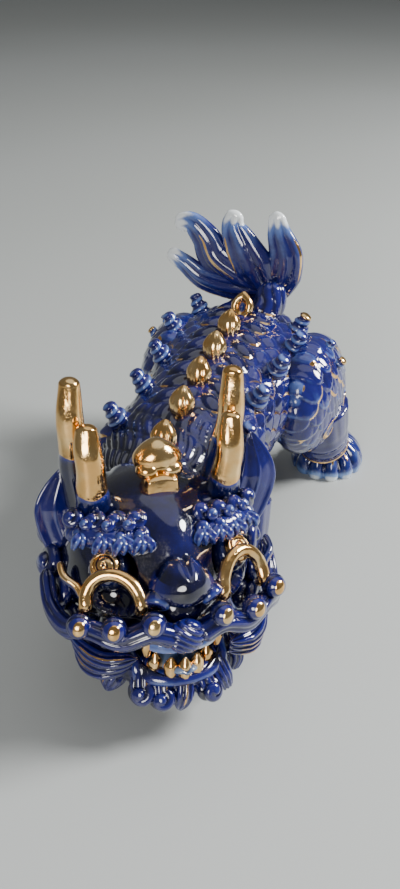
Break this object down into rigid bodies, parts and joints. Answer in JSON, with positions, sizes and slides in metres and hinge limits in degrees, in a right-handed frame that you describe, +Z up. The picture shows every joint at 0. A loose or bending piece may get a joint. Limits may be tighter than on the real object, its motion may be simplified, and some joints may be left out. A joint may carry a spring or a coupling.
{
  "type": "foo dog statue",
  "caption": "Glazed porcelain guardian beast standing on four paws, with a turned head, branching horns, a plated spine, knobs on the flanks and a flame tail.",
  "frame": {"origin": "middle of the whole beast's footprint, at the level of its soles", "axes": "+Z up, the head end towards -Y, the beast's own left towards +X"},
  "size_m": [0.14, 0.2502, 0.144],
  "materials": {
    "cobalt_glaze": "deep cobalt-blue transparent glaze, glossy, paler where it thins on edges",
    "pale_glaze": "cobalt glaze that thins to white along toes and soles, glossy",
    "gilt": "bright gold lustre fired over the glaze, mirror-like, lightly worn",
    "tongue_glaze": "thin grey-blue glaze, glossy",
    "eye_glaze": "blue-black glaze, glossy"
  },
  "bodies": {
    "root": {"head_shell": "cobalt_glaze", "lower_jaw": "cobalt_glaze", "tongue": "tongue_glaze", "lower_tooth_row": "gilt", "nose": "cobalt_glaze", "whisker_tuft": "cobalt_glaze", "forehead_crest": "gilt", "eyeball_right": "eye_glaze", "pupil_ring_right": "gilt", "horn_front_right": "gilt", "horn_rear_right": "gilt", "brow_right": "cobalt_glaze", "lower_lid_right": "gilt", "moustache_right": "cobalt_glaze", "upper_fang_right": "gilt", "ear_right": "cobalt_glaze", "temple_curls_right": "cobalt_glaze", "cheek_locks_right": "cobalt_glaze", "eyeball_left": "eye_glaze", "pupil_ring_left": "gilt", "horn_front_left": "gilt", "horn_rear_left": "gilt", "brow_left": "cobalt_glaze", "lower_lid_left": "gilt", "moustache_left": "cobalt_glaze", "upper_fang_left": "gilt", "ear_left": "cobalt_glaze", "temple_curls_left": "cobalt_glaze", "cheek_locks_left": "cobalt_glaze", "chin_locks": "cobalt_glaze", "trunk_shell": "cobalt_glaze", "hind_leg_right": "cobalt_glaze", "foreleg_right": "cobalt_glaze", "hind_leg_left": "cobalt_glaze", "foreleg_left": "cobalt_glaze", "hind_paw_right": "pale_glaze", "front_paw_right": "pale_glaze", "hind_paw_left": "pale_glaze", "front_paw_left": "pale_glaze", "spine_plate_1": "gilt", "spine_plate_2": "gilt", "spine_plate_3": "gilt", "spine_plate_4": "gilt", "spine_plate_5": "gilt", "spine_plate_6": "gilt", "flame_tail": "cobalt_glaze", "flank_knob_1_right": "cobalt_glaze", "flank_knob_2_right": "cobalt_glaze", "flank_knob_3_right": "cobalt_glaze", "flank_knob_4_right": "cobalt_glaze", "flank_knob_5_right": "cobalt_glaze", "haunch_knob_1_right": "cobalt_glaze", "haunch_knob_2_right": "cobalt_glaze", "flank_knob_1_left": "cobalt_glaze", "flank_knob_2_left": "cobalt_glaze", "flank_knob_3_left": "cobalt_glaze", "flank_knob_4_left": "cobalt_glaze", "flank_knob_5_left": "cobalt_glaze", "haunch_knob_1_left": "cobalt_glaze", "haunch_knob_2_left": "cobalt_glaze"}
  },
  "joints": []
}
